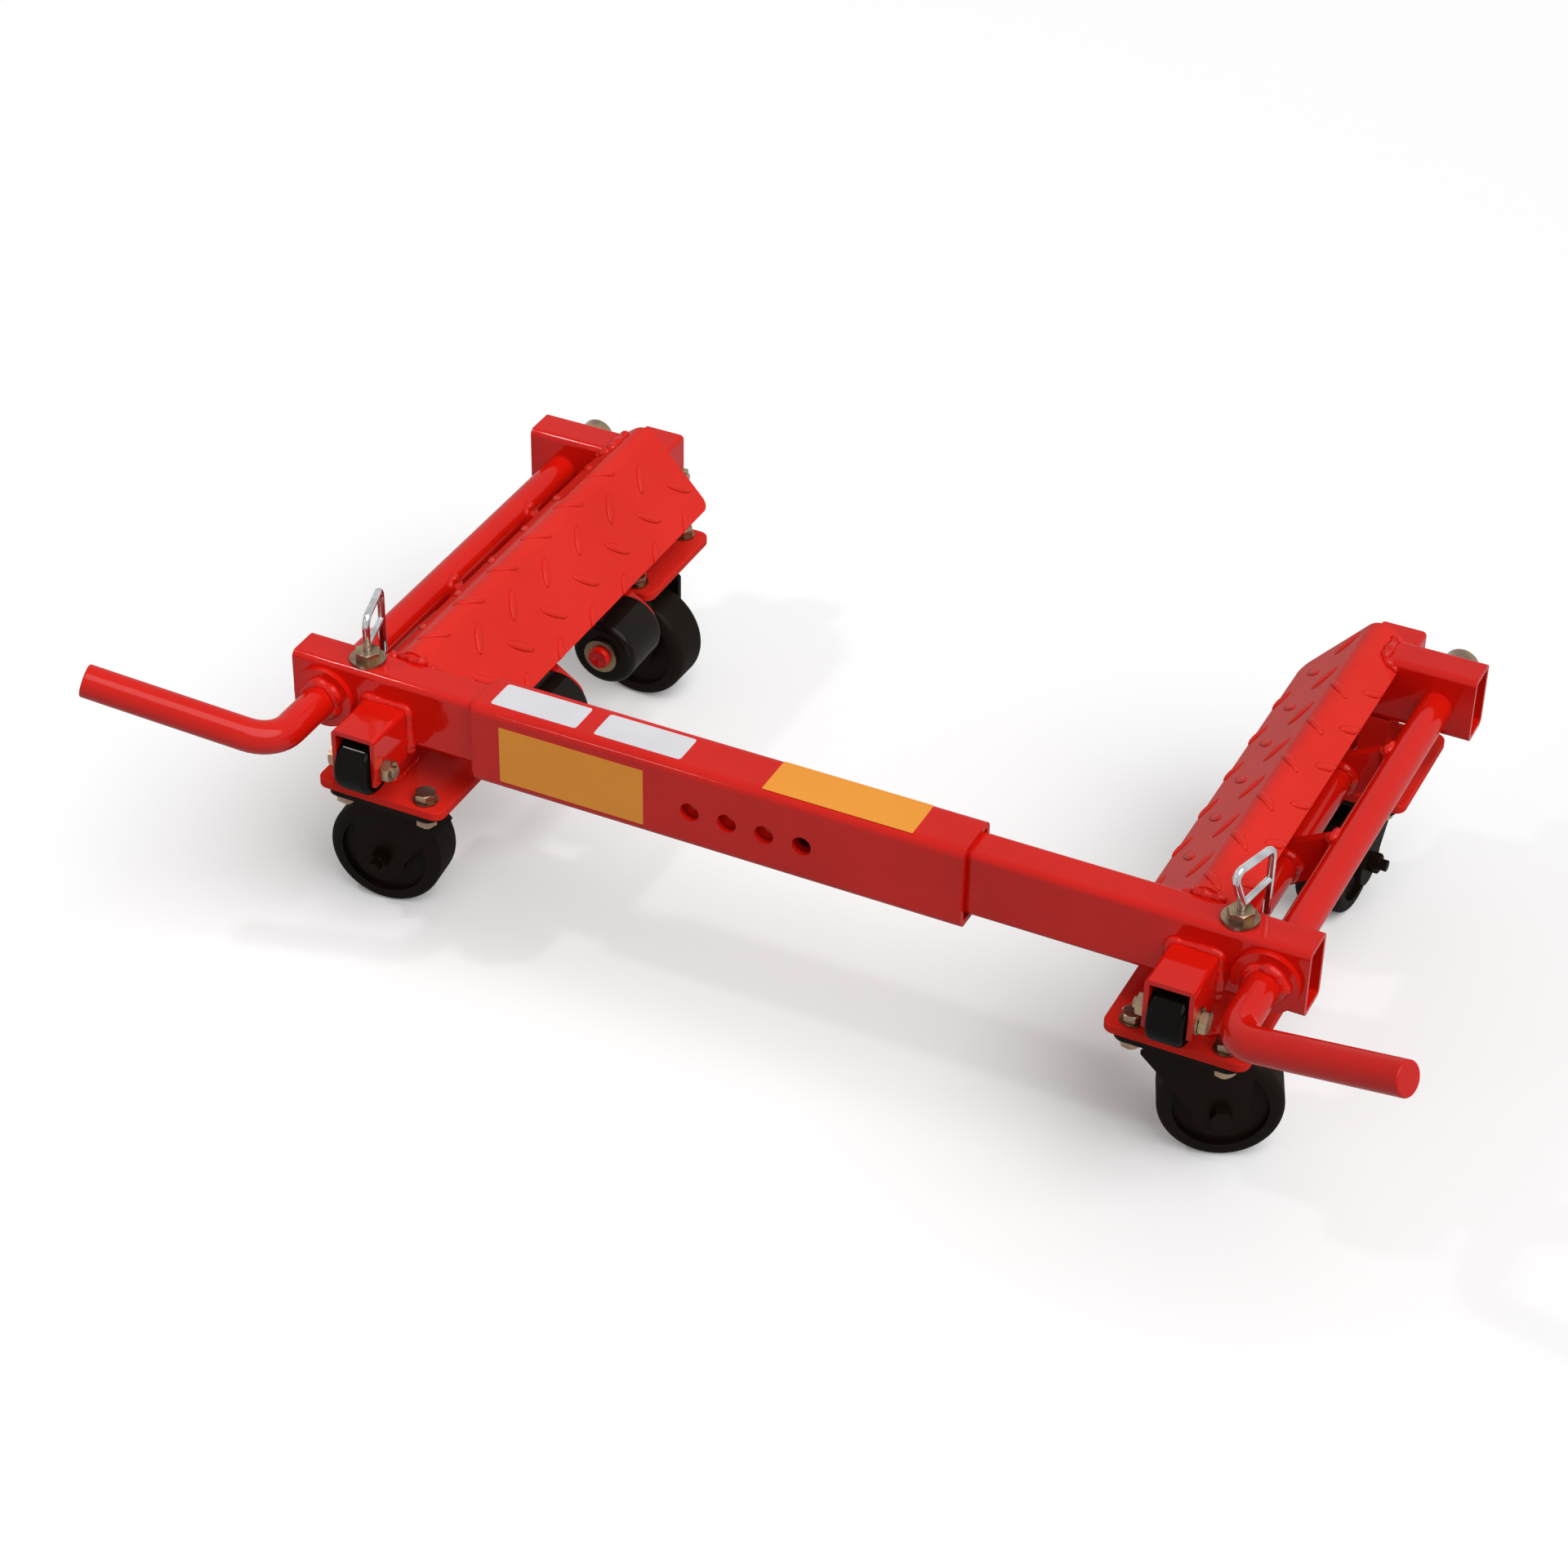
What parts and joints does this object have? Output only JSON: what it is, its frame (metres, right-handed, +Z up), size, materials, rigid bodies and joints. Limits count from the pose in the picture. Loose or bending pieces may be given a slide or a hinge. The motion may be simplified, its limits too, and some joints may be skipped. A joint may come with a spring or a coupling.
{
  "type": "lever wheel dolly",
  "caption": "Telescopic steel wheel dolly on swivel casters, with sloped tread plates, hand levers that swing lift rollers in under a tyre, and pull-ring locks.",
  "frame": {"origin": "on the floor, below the middle of the whole object's box", "axes": "+X along the beam to the sliding carriage, +Y from the beam to the open rear, +Z up"},
  "size_m": [1.1202, 0.6348, 0.2867],
  "materials": {
    "red_paint": "glossy enamel",
    "black_steel": "satin black",
    "wheel": "moulded, matte",
    "roller": "moulded, matte",
    "zinc": "yellow zinc plate",
    "chrome": "bright plated wire"
  },
  "bodies": {
    "base": {"sleeve": "red_paint", "front_tube_left": "red_paint", "rear_tube_left": "red_paint", "tread_plate_left": "red_paint", "caster_bolts_left": "zinc", "roller_bolts_left": "zinc", "guide_nut_left": "zinc", "caster_mount_front_left": "red_paint", "caster_mount_rear_left": "red_paint", "roller_bracket_front_left": "red_paint", "roller_bracket_rear_left": "red_paint", "caster_top_front_left": "black_steel", "caster_top_rear_left": "black_steel"},
    "right_carriage": {"front_tube_right": "red_paint", "rear_tube_right": "red_paint", "tread_plate_right": "red_paint", "caster_bolts_right": "zinc", "roller_bolts_right": "zinc", "guide_nut_right": "zinc", "caster_mount_front_right": "red_paint", "caster_mount_rear_right": "red_paint", "roller_bracket_front_right": "red_paint", "roller_bracket_rear_right": "red_paint", "caster_top_front_right": "black_steel", "caster_top_rear_right": "black_steel"},
    "lever_left": {"lever_bar_left": "red_paint", "tie_bar_left": "red_paint", "tail_collar_left": "zinc", "lift_washers_left": "zinc", "lift_arm_front_left": "red_paint", "lift_arm_rear_left": "red_paint"},
    "pull_ring_left": {"pull_ring_left": "chrome"},
    "lift_roller_front_left": {"lift_roller_front_left": "roller"},
    "small_roller_front_left": {"small_roller_front_left": "roller"},
    "fork_front_left": {"caster_fork_front_left": "black_steel", "caster_axle_front_left": "black_steel"},
    "wheel_front_left": {"caster_wheel_front_left": "wheel"},
    "lift_roller_rear_left": {"lift_roller_rear_left": "roller"},
    "small_roller_rear_left": {"small_roller_rear_left": "roller"},
    "fork_rear_left": {"caster_fork_rear_left": "black_steel", "caster_axle_rear_left": "black_steel"},
    "wheel_rear_left": {"caster_wheel_rear_left": "wheel"},
    "lever_right": {"lever_bar_right": "red_paint", "tie_bar_right": "red_paint", "tail_collar_right": "zinc", "lift_washers_right": "zinc", "lift_arm_front_right": "red_paint", "lift_arm_rear_right": "red_paint"},
    "pull_ring_right": {"pull_ring_right": "chrome"},
    "lift_roller_front_right": {"lift_roller_front_right": "roller"},
    "small_roller_front_right": {"small_roller_front_right": "roller"},
    "fork_front_right": {"caster_fork_front_right": "black_steel", "caster_axle_front_right": "black_steel"},
    "wheel_front_right": {"caster_wheel_front_right": "wheel"},
    "lift_roller_rear_right": {"lift_roller_rear_right": "roller"},
    "small_roller_rear_right": {"small_roller_rear_right": "roller"},
    "fork_rear_right": {"caster_fork_rear_right": "black_steel", "caster_axle_rear_right": "black_steel"},
    "wheel_rear_right": {"caster_wheel_rear_right": "wheel"}
  },
  "joints": [
    {"name": "beam_slide", "type": "slide", "parent": "base", "child": "right_carriage", "axis": [1, 0, 0], "range_m": [-0.0978, 0]},
    {"name": "lever_swing_left", "type": "hinge", "parent": "base", "child": "lever_left", "pos_m": [-0.40733, 0.03639, 0.205], "axis": [0, 1, 0], "range_deg": [0, 90]},
    {"name": "pull_ring_lift_left", "type": "slide", "parent": "base", "child": "pull_ring_left", "axis": [0, 0, 1], "range_m": [0, 0.02]},
    {"name": "swivel_front_left", "type": "hinge", "parent": "base", "child": "fork_front_left", "pos_m": [-0.34733, -0.14811, 0.13], "axis": [0, 0, 1], "continuous": true},
    {"name": "wheel_front_left_roll", "type": "hinge", "parent": "fork_front_left", "child": "wheel_front_left", "pos_m": [-0.36917, -0.15079, 0.05], "axis": [0.1219, -0.9925, 0], "continuous": true},
    {"name": "small_roller_front_left_roll", "type": "hinge", "parent": "base", "child": "small_roller_front_left", "pos_m": [-0.34983, -0.22061, 0.18], "axis": [1, 0, 0], "continuous": true},
    {"name": "lift_roller_front_left_roll", "type": "hinge", "parent": "lever_left", "child": "lift_roller_front_left", "pos_m": [-0.28977, -0.02968, 0.12807], "axis": [0, 1, 0], "continuous": true},
    {"name": "swivel_rear_left", "type": "hinge", "parent": "base", "child": "fork_rear_left", "pos_m": [-0.34733, 0.22089, 0.13], "axis": [0, 0, 1], "continuous": true},
    {"name": "wheel_rear_left_roll", "type": "hinge", "parent": "fork_rear_left", "child": "wheel_rear_left", "pos_m": [-0.32534, 0.22012, 0.05], "axis": [0.0349, 0.9994, 0], "continuous": true},
    {"name": "small_roller_rear_left_roll", "type": "hinge", "parent": "base", "child": "small_roller_rear_left", "pos_m": [-0.34983, 0.29339, 0.18], "axis": [1, 0, 0], "continuous": true},
    {"name": "lift_roller_rear_left_roll", "type": "hinge", "parent": "lever_left", "child": "lift_roller_rear_left", "pos_m": [-0.28977, 0.10246, 0.12807], "axis": [0, 1, 0], "continuous": true},
    {"name": "lever_swing_right", "type": "hinge", "parent": "right_carriage", "child": "lever_right", "pos_m": [0.40967, 0.03639, 0.205], "axis": [0, -1, 0], "range_deg": [0, 90]},
    {"name": "pull_ring_lift_right", "type": "slide", "parent": "right_carriage", "child": "pull_ring_right", "axis": [0, 0, 1], "range_m": [0, 0.02]},
    {"name": "swivel_front_right", "type": "hinge", "parent": "right_carriage", "child": "fork_front_right", "pos_m": [0.34967, -0.14811, 0.13], "axis": [0, 0, 1], "continuous": true},
    {"name": "wheel_front_right_roll", "type": "hinge", "parent": "fork_front_right", "child": "wheel_front_right", "pos_m": [0.37007, -0.13987, 0.05], "axis": [-0.3746, 0.9272, 0], "continuous": true},
    {"name": "small_roller_front_right_roll", "type": "hinge", "parent": "right_carriage", "child": "small_roller_front_right", "pos_m": [0.35217, -0.22061, 0.18], "axis": [1, 0, 0], "continuous": true},
    {"name": "lift_roller_front_right_roll", "type": "hinge", "parent": "lever_right", "child": "lift_roller_front_right", "pos_m": [0.2921, -0.02968, 0.12807], "axis": [0, 1, 0], "continuous": true},
    {"name": "swivel_rear_right", "type": "hinge", "parent": "right_carriage", "child": "fork_rear_right", "pos_m": [0.34967, 0.22089, 0.13], "axis": [0, 0, 1], "continuous": true},
    {"name": "wheel_rear_right_roll", "type": "hinge", "parent": "fork_rear_right", "child": "wheel_rear_right", "pos_m": [0.3489, 0.1989, 0.05], "axis": [0.9994, -0.0349, 0], "continuous": true},
    {"name": "small_roller_rear_right_roll", "type": "hinge", "parent": "right_carriage", "child": "small_roller_rear_right", "pos_m": [0.35217, 0.29339, 0.18], "axis": [1, 0, 0], "continuous": true},
    {"name": "lift_roller_rear_right_roll", "type": "hinge", "parent": "lever_right", "child": "lift_roller_rear_right", "pos_m": [0.2921, 0.10246, 0.12807], "axis": [0, 1, 0], "continuous": true}
  ]
}
